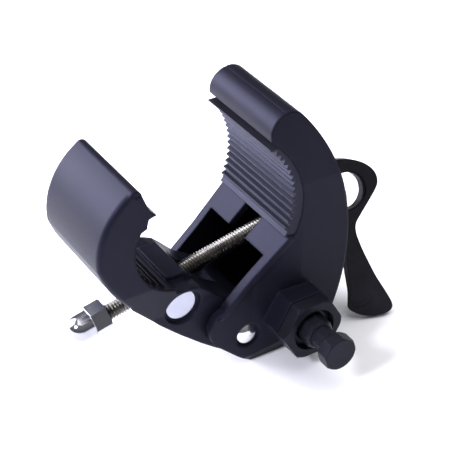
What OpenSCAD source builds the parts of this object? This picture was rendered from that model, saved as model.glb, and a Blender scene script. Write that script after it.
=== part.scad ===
// Pipe clamp for stage rigging: a fixed jaw with a ribbed rubber pad, a swinging jaw on a
// riveted pivot, a threaded rod with a hand lever that draws the jaws together, and a
// faceted mounting stud on the side. Millimetres, +Z up, +Y along the gripped pipe.
// The origin is the middle of the fixed jaw's pipe seat. The stud points along -Y.

/* [Fixed jaw] */
// Width of the fixed jaw around the pipe seat
jaw_width = 54; // [40:0.5:70]
// Width of the fixed jaw at its nose
nose_width = 47; // [36:0.5:60]
// Width across the two cheeks at the pivot
cheek_width = 50; // [44:0.2:54]
// Thickness of each cheek
cheek_t = 4.2; // [3:0.1:5]
// Radius of the smooth back of the fixed jaw
back_r = 105.1; // [80:0.2:130]
// Radius of the seat that carries the rubber pad
seat_r = 40.8; // [40:0.1:41.5]
// Radius of the rounded nose
nose_r = 9.2; // [8.5:0.1:9.8]
// Width of the slot that the threaded rod passes through
rod_slot_w = 13; // [10:0.5:20]

/* [Rubber pad] */
// Radius of the pad between its ribs
pad_r = 37.5; // [37:0.1:38.2]
// Number of ribs across the pad
pad_ribs = 14; // [8:1:20]
// Height of each rib
pad_rib_h = 1.7; // [0.5:0.1:3]

/* [Swinging jaw] */
// Width of the swinging jaw across its crescent
swing_width = 48; // [42:0.5:54]
// Width of its lower end between the cheeks
ear_width = 39.6; // [36:0.2:40]
// Radius of its smooth back
swing_back_r = 34.4; // [33.6:0.1:35.4]
// Radius of its inner seat
swing_seat_r = 25.1; // [20:0.1:30]

/* [Screw and lever] */
// Outer diameter of the threaded rod
rod_d = 7.94; // [6:0.02:10]
// Thread pitch of the rod
rod_pitch = 1.41; // [1:0.01:2]
// Tilt of the rod above the horizontal
rod_tilt = 12; // [0:0.5:30]
// Diameter of the cross bar that the rod passes through
trunnion_d = 14.4; // [10:0.1:18]
// Width across the flats of the domed nut
dome_af = 13; // [10:0.1:16]
// Turn of the hand lever about the rod
lever_turn = 25; // [0:1:45]
// Thickness of the hand lever
lever_t = 5.2; // [4:0.2:8]

/* [Stud] */
// Corner diameter of the faceted stud head
stud_d = 16.4; // [12:0.1:20]
// Width across the corners of the hexagonal boss
boss_d = 31.2; // [24:0.2:40]
// Distance from the jaw's side to the front of the boss nut
boss_out = 16; // [12:0.5:20]
// Length of the stud beyond the boss nut
stud_out = 20.2; // [10:0.2:40]

/* [Hidden] */
fine = 96;
small = 48;
eps = 0.02;
gap = 0.3;
fit = 0.05;
// pivot sits at this place in the clamp's frame
pivot_x = 8;
pivot_z = -61.5;
// centres below are measured from the pivot
back_c = [-54.1, 37.8];
seat_c = [-14.5, 64.3];
nose_c = [20.2, 98.5];
pad_c = [-14.5, 67];
swing_c = [-36.4, 64.6];
swing_seat_c = [-28.7, 62.6];
trunnion_c = [-30, 25.4];
stud_c = [23, 5.7];
floor_z = -16.6;
front_low = [-11.5, 19.3];
front_high = [20.3, 47.6];
window_top = [9.7, 38.2];
half = jaw_width / 2;
half_nose = nose_width / 2;
half_cheek = cheek_width / 2;
half_floor = half_cheek - 2;
half_in = half_cheek - cheek_t;
half_swing = swing_width / 2;
half_ear = ear_width / 2;
taper_low_x = 2;
taper_high_x = 26;
floor_taper = 9;
bead_h = 0.7;
nose_taper_z = 72;
nose_top_z = 108;
// rod stations, measured along the rod from the trunnion
rod_from = -40;
rod_to = 93;
thread_to = 72;
dome_at = -27.9;
saddle_at = 79.75;
saddle_r = 8;
saddle_half_w = 9.5;
hub_from = 86.4;
hub_to = 94;
hub_r = 10;
rod_neck_r = 3.6;
parting_angle = 100;
rivet_r = 3.5;
sleeve_r = 5;
head_r = 5.6;
rivet_seat_r = 6.1;
trunnion_half = 18;
recess_lip = 1.6;
trunnion_bore_r = 4.75;
lobe_half = 13;
seat_top_z = 71.5;
ear_r = 11.6;
stud_shank_r = 5;
stud_root_r = 7.2;
stud_neck_r = 5.3;
stud_facet_turn = 8;
collar_r = 8.8;
cup_r = 10.3;
cup_depth = 4.4;
boss_front = -half - boss_out;
nut_len = 6.2;
nut_gap = 0.6;
stud_end = boss_front - stud_out;
head_back = stud_end + 8.2;
root_front = boss_front - 5;

// ---- placement helpers ----
module at_pivot() {
  translate([pivot_x, 0, pivot_z]) children();
}
// draws a side profile in the XZ plane and gives it a width along Y
module across(width) {
  rotate([90, 0, 0]) linear_extrude(height = width, center = true) children();
}
module across_from(y_low, y_high) {
  translate([0, y_high, 0]) rotate([90, 0, 0]) linear_extrude(height = y_high - y_low) children();
}
// places children with +Z along the rod, starting at the trunnion, +X radially down
module on_rod() {
  at_pivot() translate([trunnion_c[0], 0, trunnion_c[1]]) rotate([0, 90 - rod_tilt, 0]) children();
}
module on_lever() {
  on_rod() rotate([0, 0, -lever_turn]) children();
}
module at_stud() {
  at_pivot() translate([stud_c[0], 0, stud_c[1]]) children();
}
// a bar along Y between two stations
module y_bar(r, y_low, y_high, sides = small) {
  translate([0, y_high, 0]) rotate([90, 0, 0]) cylinder(r = r, h = y_high - y_low, $fn = sides);
}
// a round taper along Y between two stations
module y_cone(r_low, r_high, y_low, y_high) {
  translate([0, y_high, 0]) rotate([90, 0, 0])
    cylinder(r1 = r_high, r2 = r_low, h = y_high - y_low, $fn = fine);
}
module hex_bar(corner_r, y_low, y_high) {
  y_bar(corner_r, y_low, y_high, 6);
}
// smooth closed curve through a few design points
function mix(a, b, c, d, t) =
  0.5 * (2 * b + (c - a) * t + (2 * a - 5 * b + 4 * c - d) * t * t + (3 * b - a - 3 * c + d) * t * t * t);
function smooth(p, steps) = [
  for (i = [0 : len(p) - 1]) for (s = [0 : steps - 1])
    mix(p[(i + len(p) - 1) % len(p)], p[i], p[(i + 1) % len(p)], p[(i + 2) % len(p)], s / steps)
];

// ---- fixed jaw ----
module back_disc() {
  translate(back_c) circle(r = back_r, $fn = 360);
}
module lower_arm() {
  intersection() {
    back_disc();
    polygon([front_low, front_high, [30, 47.6], [60, 30], [60, -2], [41, floor_z], [2.7, floor_z],
             [-5.5, -9.7], [-16.8, 1.2]]);
  }
  intersection() {
    translate([-9.4, 8.4]) circle(r = 10, $fn = fine);
    polygon([[-30, -10], [-30, 30], front_low, [0, 0]]);
  }
}
module crescent() {
  difference() {
    intersection() {
      back_disc();
      union() {
        polygon([[13.5, 92.6], [14.2, 94.5], [20, 100], [27.3, 104.3], [40, 104.3], [60, 60], [60, 20],
                 [16, 43]]);
        translate(nose_c) circle(r = nose_r, $fn = fine * 2);
      }
    }
    translate(seat_c) circle(r = seat_r, $fn = fine * 2);
    polygon([[0, 20], front_low, front_high, [0, 60]]);
    lip_notch();
  }
}
// room under the nose for the lip of the pad
module lip_notch() {
  polygon([[4, 96.4], [11.4, 96.4], [14.4, 93.2], [14.4, 85], [4, 85]]);
}
module jaw_side() {
  crescent();
  lower_arm();
}
// plan outline that narrows towards the pivot
module plan(inset) {
  low = half_cheek - inset;
  high = half - inset;
  polygon([[-90, -low], [taper_low_x, -low], [taper_high_x, -high], [90, -high],
           [90, high], [taper_high_x, high], [taper_low_x, low], [-90, low]]);
}
// end outline that narrows towards the nose and the floor
module end_view(inset) {
  base = half_floor - inset;
  low = half - inset;
  high = half_nose - inset;
  polygon([[-base, -90], [base, -90], [base, floor_z], [low, floor_z + floor_taper], [low, nose_taper_z],
           [high, nose_top_z], [high, 150], [-high, 150], [-high, nose_top_z], [-low, nose_taper_z],
           [-low, floor_z + floor_taper], [-base, floor_z]]);
}
module narrowed(inset) {
  intersection() {
    children();
    translate([0, 0, -100]) linear_extrude(height = 300) plan(inset);
    translate([-100, 0, 0]) rotate([90, 0, 90]) linear_extrude(height = 200) end_view(inset);
  }
}
// the hollow between the cheeks, open to the front below the slot
module hollow_side() {
  difference() {
    polygon([[-60, 75], window_top, [11.9, 35.3], [22.6, 44.5], [30, 46], [38, 46], [41, 33],
             [45.5, 27], [44.6, 12], [38, -9], [33, -12.5], [3, -12.5], [3, -40], [-60, -40]]);
    polygon([window_top, front_high, [20, 70], [0, 70], [-20, 50], [-20, 60], [-10, 90], [40, 90]]);
  }
}
module boss() {
  hex_bar(boss_d / 2, boss_front + nut_len + nut_gap, -half_cheek + 2);
}
module main_jaw() color([0.1, 0.1, 0.11]) difference() {
  at_pivot() union() {
    narrowed(0) across(jaw_width) jaw_side();
    translate([stud_c[0], 0, stud_c[1]]) boss();
    cheek_bead();
  }
  at_pivot() narrowed(cheek_t) across(jaw_width) hollow_side();
  at_pivot() across(rod_slot_w) polygon([[2, 38], [16, 30], [27, 38], [19, 46.6], [12, 56]]);
  rear_seat();
  at_pivot() y_bar(rivet_r, -40, 40);
  at_pivot() y_bar(rivet_seat_r, -40, -half_cheek + 1.2);
  at_pivot() y_bar(rivet_seat_r, half_cheek - 1.2, 40);
  at_stud() y_bar(stud_shank_r + fit, -80, -10);
  at_pivot() translate([nose_c[0], 0, nose_c[1]] + nose_r * [cos(parting_angle), 0, sin(parting_angle)])
    y_bar(0.3, -40, 40, 16);
}
// raised bead along the free edge of the near cheek
module cheek_bead() {
  intersection() {
    across_from(-half - bead_h, -half_cheek + 1)
      polygon([[-15.5, 15], front_low, front_high, [22.4, 45.8], [14.4, 37.1], [5, 28.9], [-6.3, 19.5],
               [-12, 14.5]]);
    translate([0, 0, -100]) linear_extrude(height = 300) plan(-bead_h);
  }
}
// round seat for the saddle, open to the back
module rear_seat() {
  on_rod() translate([0, 0, saddle_at]) {
    y_bar(saddle_r + fit, -saddle_half_w - gap, saddle_half_w + gap, fine);
    translate([-saddle_r - fit, -saddle_half_w - gap, 0])
      cube([2 * (saddle_r + fit), 2 * (saddle_half_w + gap), 30]);
    translate([-7, -5.4, -30]) cube([14, 10.8, 31]);
  }
}

// ---- rubber pad ----
pad_low = -27;
pad_high = 42;
pad_lip = [10.5, 92.3];
pad_top_z = 92.9;
pad_fit = 0.05;
rib_step = (pad_high - pad_low) / pad_ribs;
function pad_point(r, angle) = pad_c + r * [cos(angle), sin(angle)];
// inner outline of the pad: flat tops and roots of the ribs, then the lip
function rib_outline() = concat(
  [for (i = [0 : pad_ribs - 1]) for (corner = [[0, 0], [0.3, 1], [0.52, 1], [0.82, 0]])
    pad_point(pad_r - corner[1] * pad_rib_h, pad_low + (i + corner[0]) * rib_step)],
  [pad_point(pad_r, pad_high), pad_lip, pad_lip + [0, 2]]);
module pad_side() {
  difference() {
    intersection() {
      translate(seat_c) circle(r = seat_r - pad_fit, $fn = fine * 2);
      polygon([[0, front_high[1] + 0.1], [60, front_high[1] + 0.1], [60, pad_top_z], [0, pad_top_z]]);
    }
    polygon(concat([pad_point(60, 180), pad_point(60, 250), pad_point(pad_r, pad_low - 10)], rib_outline(),
                   [pad_point(60, 68), pad_point(60, 120)]));
  }
}
module jaw_pad() color([0.13, 0.13, 0.14]) {
  at_pivot() narrowed(0.3) across(jaw_width) pad_side();
}

// ---- swinging jaw ----
// the rim's round edge touches the back from inside
swing_top_r = 3;
top_angle = 121.1;
// a larger arc eases the lower part of the back
easing_c = [-16, 78];
easing_r = 57.2;
rim_round = 2.2;
top_way = [cos(top_angle), sin(top_angle)];
swing_top_c = swing_c + (swing_back_r - swing_top_r) * top_way;
// disc with rounded rims that shapes the back of the crescent
module rimmed_disc(centre, r) {
  translate([centre[0], 0, centre[1]]) rotate([90, 0, 0]) rotate_extrude($fn = fine * 2) {
    translate([0, -half_swing]) square([r - rim_round, swing_width]);
    translate([0, -half_swing + rim_round]) square([r, swing_width - 2 * rim_round]);
    for (side = [-1, 1])
      translate([r - rim_round, side * (half_swing - rim_round)]) circle(r = rim_round, $fn = small);
  }
}
module swing_crescent() {
  intersection() {
    rimmed_disc(swing_c, swing_back_r);
    rimmed_disc(easing_c, easing_r);
    across(swing_width) polygon([[-90, 120], swing_top_c + 10 * top_way, swing_top_c,
      swing_top_c + [swing_top_r, 0], [-47.6, 86], [-46.4, 83.4], [-43.4, 80.4], [-47, 79.4], [-47.6, 77.6],
      [-48, 75.2], [-50.8, 74], [-52.8, 69], [-30, 60], [-34, 38.6], [-40, 20], [-90, 40]]);
  }
  translate([swing_top_c[0], 0, swing_top_c[1]]) y_bar(swing_top_r, -half_swing + 0.3, half_swing - 1.2);
}
module swing_outline() {
  polygon([[-61, 48.4], [-55.4, 35.4], [-48.5, 27.7], [-41.4, 19.8], [-31.7, 10.6], [-21.7, 1.8],
           [-14.5, -3.9], [-7.5, -8.85], [8, 8.4], [-3, 18.4], [-11.5, 23.6], [-17.8, 29.8],
           [-21.8, 33.4], [-26.5, 35.2], [-33, 35.6], [-40, 42]]);
  circle(r = ear_r, $fn = fine);
}
// raised lobes each side of the rod slot
module lobes() {
  across(2 * lobe_half)
    polygon([[-39, 36.5], [-37, 39.4], [-34, 41], [-30, 41.2], [-26, 39.2], [-21.5, 33.8], [-15.5, 26],
             [-25, 15], [-40, 25]]);
}
module swing_floor() {
  difference() {
    translate(swing_seat_c) circle(r = swing_seat_r + 1.6, $fn = fine * 2);
    polygon([[-90, 73], [-20, 73], [-20, 120], [-90, 120]]);
    polygon([[-36, 20], [-33, 44.6], [-28.5, 44.6], [-22, 41], [0, 20]]);
  }
}
// end outline of the swinging jaw: wide crescent, narrow lower end
module swing_narrowed() {
  intersection() {
    children();
    translate([-120, 0, 0]) rotate([90, 0, 90]) linear_extrude(height = 200)
      polygon([[-half_ear, -40], [half_ear, -40], [half_ear, 24], [half_swing, 44], [half_swing, 120],
               [-half_swing, 120], [-half_swing, 44], [-half_ear, 24]]);
  }
}
module swing_jaw() color([0.1, 0.1, 0.11]) difference() {
  at_pivot() difference() {
    difference() {
      union() {
        swing_narrowed() swing_crescent();
        swing_narrowed() across(swing_width) swing_outline();
        lobes();
      }
      across(swing_width + 1) intersection() {
        translate(swing_seat_c) circle(r = swing_seat_r, $fn = fine * 2);
        translate([-90, -40]) square([120, 40 + seat_top_z]);
      }
    }
    across(swing_width - 6) swing_floor();
    y_bar(sleeve_r + fit, -40, 40);
    translate([trunnion_c[0], 0, trunnion_c[1]]) {
      y_bar(trunnion_d / 2 + fit, -40, 40);
      y_bar(trunnion_d / 2 + recess_lip, -40, -trunnion_half - 0.1);
      y_bar(trunnion_d / 2 + recess_lip, trunnion_half + 0.1, 40);
    }
  }
  rod_window();
  lightening();
}
// space for the rod to tilt through the swinging jaw
module rod_window() {
  on_rod() {
    translate([-9, -5.4, -30]) cube([20, 10.8, 60]);
  }
}
// moulding pockets each side of the rod, open to the back
module lightening() {
  for (side = [-1, 1])
    at_pivot() translate([0, side * 12, 0]) across(8)
      polygon([[-44, 30], [-52, 39], [-48, 43], [-39, 34]]);
}
module swing_pad() color([0.13, 0.13, 0.14]) {
  at_pivot() across(swing_width - 7) difference() {
    intersection() {
      translate(swing_seat_c) circle(r = swing_seat_r + 1.5, $fn = fine * 2);
      polygon([swing_seat_c, swing_seat_c + [-40, 10.5], swing_seat_c + [-40, -40],
               swing_seat_c + [-12.5, -40]]);
    }
    translate(swing_seat_c) difference() {
      circle(r = swing_seat_r + 0.5, $fn = fine * 2);
      for (i = [0 : 8])
        rotate(172 + i * 9) translate([swing_seat_r, 0]) square([2.4, 0.9], center = true);
    }
  }
}

// ---- pivot ----
module pivot_rivet() color([0.75, 0.75, 0.77]) at_pivot() {
  y_bar(rivet_r - 0.01, -half_cheek + 1, half_cheek + 1.4);
  translate([0, -half_cheek + 1.2, 0]) rotate([90, 0, 0]) rotate_extrude($fn = fine) intersection() {
    translate([0, 2.2 - head_r * 1.4]) circle(r = head_r * 1.4, $fn = fine);
    square([head_r, 5]);
  }
}
module pivot_cap() color([0.75, 0.75, 0.77]) at_pivot() difference() {
  y_bar(head_r, half_cheek - 1.2, half_cheek + 0.8);
  y_bar(rivet_r, 0, 40);
}
module pivot_sleeve() color([0.7, 0.7, 0.72]) at_pivot() difference() {
  y_bar(sleeve_r, -half_in + 0.4, half_in - 0.4);
  y_bar(rivet_r + fit, -40, 40);
}
module washer_ring(y_low) {
  at_pivot() difference() {
    y_bar(9.5, y_low, y_low + 0.6);
    y_bar(sleeve_r + 0.3, -40, 40);
  }
}
module near_washer() color([0.7, 0.7, 0.72]) washer_ring(-half_in + 0.1);
module far_washer() color([0.7, 0.7, 0.72]) washer_ring(half_in - 0.7);

// ---- screw ----
module trunnion() color([0.8, 0.8, 0.82]) difference() {
  on_rod() y_bar(trunnion_d / 2, -trunnion_half, trunnion_half, fine);
  on_rod() translate([0, 0, -20]) cylinder(r = trunnion_bore_r, h = 40, $fn = small);
}
turns = floor((thread_to - rod_from) / rod_pitch);
module screw_rod() color([0.72, 0.69, 0.62]) on_rod() difference() {
  rotate_extrude($fn = small) polygon(concat(
    [[0, rod_from], [rod_d / 2 - 0.85, rod_from]],
    [for (i = [0 : turns - 1]) for (k = [0 : 1])
      [rod_d / 2 - (k == 0 ? 0.85 : 0), rod_from + (i + k * 0.5 + 0.1) * rod_pitch]],
    [[rod_d / 2 - 0.85, rod_from + turns * rod_pitch], [rod_neck_r, rod_from + turns * rod_pitch + 1],
     [rod_neck_r, rod_to], [0, rod_to]]));
  pin_hole(1.25);
}
module pin_hole(r) {
  rotate([0, 0, -lever_turn]) translate([0, 0, (hub_from + hub_to) / 2]) y_bar(r, -20, 20);
}
dome_hex = 7.6;
dome_r = dome_af * 0.475;
dome_neck = 4.9;
module dome_nut() color([0.85, 0.85, 0.87]) on_rod() difference() {
  union() {
    intersection() {
      translate([0, 0, dome_at - dome_hex]) rotate([0, 0, 30])
        cylinder(r = dome_af / sqrt(3), h = dome_hex, $fn = 6);
      translate([0, 0, dome_at]) rotate([180, 0, 0])
        cylinder(r1 = dome_af * 0.55, r2 = dome_af * 0.55 + dome_hex * 0.9, h = dome_hex, $fn = small);
    }
    translate([0, 0, dome_at - dome_hex - dome_neck]) cylinder(r = dome_r, h = dome_neck + 1, $fn = fine);
    translate([0, 0, dome_at - dome_hex - dome_neck]) intersection() {
      sphere(r = dome_r, $fn = fine);
      translate([-20, -20, -40]) cube([40, 40, 40 + eps]);
    }
  }
  translate([0, 0, rod_from - 0.4]) cylinder(r = rod_d / 2 + 0.03, h = 30, $fn = small);
}
module screw_saddle() color([0.62, 0.62, 0.64]) on_rod() difference() {
  translate([0, 0, saddle_at]) intersection() {
    y_bar(saddle_r, -saddle_half_w, saddle_half_w, fine);
    translate([-20, -20, -20]) cube([40, 40, 24.6]);
  }
  translate([0, 0, 50]) cylinder(r = rod_neck_r + 0.1, h = 60, $fn = small);
}
module thrust_washer() color([0.8, 0.8, 0.82]) on_rod() difference() {
  translate([0, 0, saddle_at + 4.9]) cylinder(r = 7.4, h = hub_from - saddle_at - 5.2, $fn = fine);
  translate([0, 0, 50]) cylinder(r = rod_neck_r + 0.1, h = 60, $fn = small);
}

// ---- hand lever ----
insert_r = 6.4;
insert_len = 6.2;
insert_lid = 0.8;
module hub_insert() color([0.7, 0.66, 0.5]) on_lever() difference() {
  translate([0, 0, hub_from + insert_lid]) cylinder(r = insert_r, h = insert_len, $fn = 6);
  translate([0, 0, 50]) cylinder(r = rod_neck_r + 0.02, h = 60, $fn = small);
  translate([0, 0, (hub_from + hub_to) / 2]) y_bar(1.25, -20, 20);
}
module hub_pin() color([0.75, 0.75, 0.77]) on_lever() {
  translate([0, 0, (hub_from + hub_to) / 2]) y_bar(1.2, -9, 9);
}
// lever outline: first number radially out, second along the rod
lever_points = [
  [6, 88.6], [16, 88.4], [26, 87], [35, 84.6], [44.6, 82.2], [50.2, 80.8], [54.4, 79], [58, 78],
  [62.8, 81.4], [66.2, 87], [67.6, 92.4], [67, 95.9], [64.6, 97.2], [58.5, 96.6], [48.9, 94.9], [40, 94.1],
  [32, 93.7], [25.3, 94], [21.4, 95.6], [18.9, 99], [16, 103.8], [11.8, 110.6], [8.6, 113.6], [3.9, 114],
  [-1.6, 111.2], [-6.8, 105.4], [-10.3, 97.6], [-9.9, 91]
];
ring_c = [5.6, 97.7];
ring_r = 8.6;
ring_flat = 94.5;
module lever_plan() {
  polygon(smooth(lever_points, 5));
}
module lever_hole(r) {
  intersection() {
    translate(ring_c) circle(r = r, $fn = fine);
    translate([-20, ring_flat]) square([60, 40]);
  }
}
// turns a plan drawn as (radial, along rod) into a plate about the rod axis
module lever_plate(t) {
  rotate([90, 0, 0]) linear_extrude(height = t, center = true) children();
}
// places children on the slanted thumb face: +X down the crease, -Z away from it
crease_start = [33, 85.8];
crease_slope = 15.3;
thumb_slope = 13;
module on_thumb_face() {
  translate([crease_start[0], -lever_t / 2, crease_start[1]]) rotate([0, -crease_slope, 0])
    rotate([thumb_slope, 0, 0]) children();
}
// two shallow raised arcs that give the thumb grip
module thumb_arcs() {
  for (step = [0, 1])
    on_thumb_face() translate([16 + step * 2.4, 0.3, -6.5]) rotate([90, 0, 0]) linear_extrude(height = 0.7)
      intersection() {
        difference() {
          circle(r = 8, $fn = small);
          circle(r = 7.3, $fn = small);
        }
        translate([3, -6]) square([6, 9.5]);
      }
}
module hand_lever() color([0.12, 0.12, 0.13]) on_lever() difference() {
  union() {
    difference() {
      lever_plate(lever_t) lever_plan();
      on_thumb_face() translate([-8, -20, -40]) cube([60, 20, 40]);
    }
    thumb_arcs();
    translate([0, 0, hub_from]) cylinder(r = hub_r, h = hub_to - hub_from, $fn = fine);
  }
  lever_plate(40) lever_hole(ring_r);
  translate([0, -lever_t / 2, 0]) lever_plate(1.4) lever_hole(ring_r + 1.1);
  translate([0, 0, hub_from - 1]) cylinder(r = insert_r + 0.02, h = insert_len + insert_lid + 1.02, $fn = 6);
  translate([0, 0, 50]) cylinder(r = rod_neck_r + 0.02, h = rod_to + 0.2 - 50, $fn = small);
  translate([0, 0, (hub_from + hub_to) / 2]) y_bar(1.22, -20, 20);
}

// ---- stud ----
module facet_bar(r, y_low, y_high) {
  rotate([0, stud_facet_turn, 0]) y_bar(r, y_low, y_high, 8);
}
module spigot_stud() color([0.16, 0.16, 0.17]) at_stud() {
  y_bar(stud_shank_r, boss_front, -14);
  facet_bar(stud_neck_r, head_back - 3, root_front + 3);
  intersection() {
    facet_bar(stud_d / 2, stud_end, head_back);
    y_cone(stud_d / 2 - 0.7, stud_d / 2 + 9.3, stud_end, stud_end + 10);
    y_cone(stud_neck_r + 10.7, stud_neck_r + 0.7, head_back - 10, head_back);
  }
  intersection() {
    facet_bar(stud_root_r, root_front, boss_front + cup_depth - fit);
    y_cone(stud_neck_r + 0.5, stud_neck_r + 10.5, root_front, root_front + 10);
  }
}
module stud_nut() color([0.12, 0.12, 0.13]) at_stud() difference() {
  union() {
    intersection() {
      hex_bar(boss_d / 2, boss_front, boss_front + nut_len);
      y_cone(boss_d / 2 - 1.3, boss_d / 2 + 5, boss_front, boss_front + nut_len);
    }
    y_bar(boss_d / 2 - 3, boss_front + nut_len - 1, boss_front + nut_len + nut_gap);
  }
  y_bar(cup_r, boss_front - 1, boss_front + cup_depth);
  y_bar(stud_shank_r + fit, -80, 0);
}
module stud_washer() color([0.3, 0.3, 0.31]) at_stud() difference() {
  y_bar(collar_r, boss_front + cup_depth - 1.4, boss_front + cup_depth - fit);
  y_bar(stud_root_r + fit, -80, 0);
}
module stud_lock_nut() color([0.6, 0.6, 0.62]) at_stud() difference() {
  hex_bar(9, -half_in + 0.2, -half_in + 5.6);
  y_bar(stud_shank_r + fit, -80, 0);
}

main_jaw();
jaw_pad();
swing_jaw();
swing_pad();
pivot_rivet();
pivot_cap();
pivot_sleeve();
near_washer();
far_washer();
trunnion();
screw_rod();
dome_nut();
screw_saddle();
thrust_washer();
hub_insert();
hub_pin();
hand_lever();
spigot_stud();
stud_nut();
stud_washer();
stud_lock_nut();
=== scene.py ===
import math

import bpy
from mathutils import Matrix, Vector


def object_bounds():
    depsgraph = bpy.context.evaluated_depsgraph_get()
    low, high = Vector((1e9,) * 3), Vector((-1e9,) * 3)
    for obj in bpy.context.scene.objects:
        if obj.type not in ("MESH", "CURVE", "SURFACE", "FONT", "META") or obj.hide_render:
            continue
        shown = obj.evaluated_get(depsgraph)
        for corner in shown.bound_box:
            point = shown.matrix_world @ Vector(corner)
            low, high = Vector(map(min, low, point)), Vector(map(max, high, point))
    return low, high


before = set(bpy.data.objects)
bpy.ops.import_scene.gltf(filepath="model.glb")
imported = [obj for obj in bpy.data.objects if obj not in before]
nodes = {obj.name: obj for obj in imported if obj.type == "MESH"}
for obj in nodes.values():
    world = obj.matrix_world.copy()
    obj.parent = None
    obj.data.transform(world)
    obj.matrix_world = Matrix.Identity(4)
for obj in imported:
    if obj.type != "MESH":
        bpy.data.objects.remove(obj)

start_low, start_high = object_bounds()
MM = 0.001
GRAIN_DEPTH = 0.0002
BEVEL_SAMPLES = 6
FLOOR_SIZE = 6.0


# ---- materials ----
def new_material(name):
    material = bpy.data.materials.new(name)
    material.use_nodes = True
    tree = material.node_tree
    return material, tree, tree.nodes["Principled BSDF"]


def noise(tree, coords, scale, detail, rough):
    node = tree.nodes.new("ShaderNodeTexNoise")
    node.inputs["Scale"].default_value = scale
    node.inputs["Detail"].default_value = detail
    node.inputs["Roughness"].default_value = rough
    tree.links.new(coords.outputs["Object"], node.inputs["Vector"])
    return node


def ramp(tree, source, low, high, color_low, color_high):
    node = tree.nodes.new("ShaderNodeValToRGB")
    node.color_ramp.elements[0].position = low
    node.color_ramp.elements[1].position = high
    node.color_ramp.elements[0].color = (*color_low, 1.0)
    node.color_ramp.elements[1].color = (*color_high, 1.0)
    tree.links.new(source, node.inputs["Fac"])
    return node


def span(tree, source, low, high):
    node = tree.nodes.new("ShaderNodeMapRange")
    node.inputs["To Min"].default_value = low
    node.inputs["To Max"].default_value = high
    tree.links.new(source, node.inputs["Value"])
    return node


def surface(name, dark, light, rough, *, grain, bump, blotch, wear, edge, metal=0.0, specular=0.5,
            tint=(1.0, 1.0, 1.0)):
    """A surface with uneven colour, uneven gloss, a fine grain and slightly rounded edges."""
    material, tree, shader = new_material(name)
    coords = tree.nodes.new("ShaderNodeTexCoord")
    broad = noise(tree, coords, blotch, detail=5.0, rough=0.6)
    fine = noise(tree, coords, grain, detail=3.0, rough=0.7)
    color = ramp(tree, broad.outputs["Fac"], low=0.3, high=0.7, color_low=dark, color_high=light)
    tree.links.new(color.outputs["Color"], shader.inputs["Base Color"])
    gloss = span(tree, broad.outputs["Fac"], rough - wear, rough + wear)
    tree.links.new(gloss.outputs["Result"], shader.inputs["Roughness"])
    shader.inputs["Metallic"].default_value = metal
    shader.inputs["Specular IOR Level"].default_value = specular
    shader.inputs["Specular Tint"].default_value = (*tint, 1.0)
    rounding = tree.nodes.new("ShaderNodeBevel")
    rounding.samples = BEVEL_SAMPLES
    rounding.inputs["Radius"].default_value = edge
    height = tree.nodes.new("ShaderNodeBump")
    height.inputs["Strength"].default_value = bump
    height.inputs["Distance"].default_value = GRAIN_DEPTH
    tree.links.new(fine.outputs["Fac"], height.inputs["Height"])
    tree.links.new(rounding.outputs["Normal"], height.inputs["Normal"])
    tree.links.new(height.outputs["Normal"], shader.inputs["Normal"])
    return material


# black mouldings reflect the studio with a bluish tone
LILAC = (0.56, 0.57, 1.0)
jaw_plastic = surface(
    "jaw_plastic", (0.0050, 0.0049, 0.0088), (0.0072, 0.0070, 0.0122), 0.42, grain=2200.0, bump=0.32,
    blotch=35.0, wear=0.04, specular=0.13, tint=LILAC, edge=0.0016)
lever_plastic = surface(
    "lever_plastic", (0.0065, 0.0064, 0.0078), (0.0110, 0.0107, 0.0130), 0.52, grain=1300.0, bump=0.45,
    blotch=90.0, wear=0.05, specular=0.15, tint=(0.8, 0.8, 1.0), edge=0.0006)
pad_rubber = surface(
    "pad_rubber", (0.0090, 0.0088, 0.0120), (0.0130, 0.0128, 0.0170), 0.48, grain=1200.0, bump=0.20,
    blotch=70.0, wear=0.06, specular=0.25, tint=LILAC, edge=0.0003)
stud_black = surface(
    "stud_black", (0.0070, 0.0068, 0.0095), (0.0110, 0.0106, 0.0145), 0.36, grain=1100.0, bump=0.15,
    blotch=60.0, wear=0.06, specular=0.13, tint=LILAC, edge=0.0005)
rivet_steel = surface(
    "rivet_steel", (0.70, 0.70, 0.73), (0.82, 0.82, 0.85), 0.18, metal=1.0, grain=700.0, bump=0.02,
    blotch=120.0, wear=0.04, edge=0.0003)
plain_steel = surface(
    "plain_steel", (0.42, 0.42, 0.44), (0.56, 0.56, 0.58), 0.36, metal=1.0, grain=900.0, bump=0.08,
    blotch=120.0, wear=0.06, edge=0.0003)
rod_steel = surface(
    "rod_steel", (0.17, 0.16, 0.15), (0.27, 0.26, 0.24), 0.30, metal=1.0, grain=1600.0, bump=0.02,
    blotch=150.0, wear=0.05, edge=0.00005)
dome_chrome = surface(
    "dome_chrome", (0.36, 0.36, 0.39), (0.42, 0.42, 0.45), 0.15, metal=1.0, grain=500.0, bump=0.01,
    blotch=90.0, wear=0.02, edge=0.0003)
bar_steel = surface(
    "bar_steel", (0.40, 0.41, 0.49), (0.47, 0.48, 0.57), 0.22, metal=1.0, grain=700.0, bump=0.02,
    blotch=120.0, wear=0.04, edge=0.0003)
insert_brass = surface(
    "insert_brass", (0.60, 0.44, 0.20), (0.74, 0.56, 0.28), 0.32, metal=1.0, grain=800.0, bump=0.05,
    blotch=90.0, wear=0.05, edge=0.0002)

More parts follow.
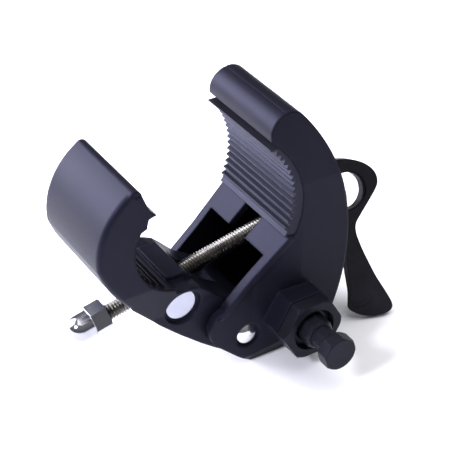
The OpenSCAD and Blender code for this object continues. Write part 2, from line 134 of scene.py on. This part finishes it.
# pieces that are not listed here are of plain steel
finishes = {
    "main_jaw": jaw_plastic, "swing_jaw": jaw_plastic, "jaw_pad": pad_rubber, "swing_pad": pad_rubber,
    "hand_lever": lever_plastic, "spigot_stud": stud_black, "stud_nut": stud_black,
    "stud_washer": stud_black, "pivot_rivet": rivet_steel, "pivot_cap": rivet_steel,
    "trunnion": bar_steel, "screw_rod": rod_steel, "dome_nut": dome_chrome, "hub_insert": insert_brass,
}
for name, node in nodes.items():
    node.data.materials.clear()
    node.data.materials.append(finishes.get(name, plain_steel))

# ---- stage ----
floor_z = start_low.z
floor_material, floor_tree, floor_shader = new_material("floor_white")
floor_shader.inputs["Base Color"].default_value = (0.93, 0.93, 0.95, 1.0)
floor_shader.inputs["Roughness"].default_value = 0.7
bpy.ops.mesh.primitive_plane_add(size=FLOOR_SIZE, location=(0, 0, floor_z))
floor = bpy.context.object
floor.name = "floor"
floor.data.materials.append(floor_material)


# ---- light ----
CLAMP_CENTRE = (0.01, 0.0, -0.02)
COOL_WHITE = (0.88, 0.89, 1.0)


def area_light(name, place, side, power, color=(1, 1, 1)):
    """A square lamp at a place, aimed at the clamp."""
    data = bpy.data.lights.new(name, "AREA")
    data.shape = "SQUARE"
    data.size = side
    data.energy = power
    data.color = color
    lamp = bpy.data.objects.new(name, data)
    bpy.context.scene.collection.objects.link(lamp)
    lamp.location = place
    aim = Vector(CLAMP_CENTRE) - Vector(place)
    lamp.rotation_mode = "QUATERNION"
    lamp.rotation_quaternion = aim.to_track_quat("-Z", "Y")


area_light("softbox_back", (-0.54, 0.62, 0.40), 0.75, 29.0, COOL_WHITE)
area_light("fill_top", (0.20, -0.10, 1.05), 1.3, 12.0)
area_light("edge_left", (-0.65, -0.20, 0.50), 0.16, 6.5, COOL_WHITE)

# a studio with a bright ceiling and darker walls, which gives polished metal its dark bands
WALL_GREY = (0.34, 0.34, 0.38)
CEILING_WHITE = (0.80, 0.80, 0.85)
world = bpy.data.worlds.new("studio")
bpy.context.scene.world = world
world.use_nodes = True
sky = world.node_tree
direction = sky.nodes.new("ShaderNodeTexCoord")
split = sky.nodes.new("ShaderNodeSeparateXYZ")
sky.links.new(direction.outputs["Generated"], split.inputs["Vector"])
walls = ramp(sky, split.outputs["Z"], low=0.10, high=0.55, color_low=WALL_GREY,
             color_high=CEILING_WHITE)
sky.links.new(walls.outputs["Color"], sky.nodes["Background"].inputs["Color"])
sky.nodes["Background"].inputs["Strength"].default_value = 0.4

# ---- camera ----
azimuth = math.radians(-32.09)
elevation = math.radians(35.34)
distance = 661.2 * MM
look_at = Vector((13.7 * MM, 0.0, -20.8 * MM))
back = Vector((
    math.sin(azimuth) * math.cos(elevation),
    -math.cos(azimuth) * math.cos(elevation),
    math.sin(elevation),
))
camera_data = bpy.data.cameras.new("camera")
camera_data.sensor_width = 36.0
camera_data.lens = 117.94
camera_data.clip_start = 0.01
camera_data.clip_end = 20.0
camera = bpy.data.objects.new("camera", camera_data)
bpy.context.scene.collection.objects.link(camera)
camera.location = look_at + back * distance
camera.rotation_mode = "QUATERNION"
camera.rotation_quaternion = (-back).to_track_quat("-Z", "Y")
bpy.context.scene.camera = camera

bpy.context.scene.view_settings.view_transform = "Standard"
bpy.context.scene.view_settings.look = "None"
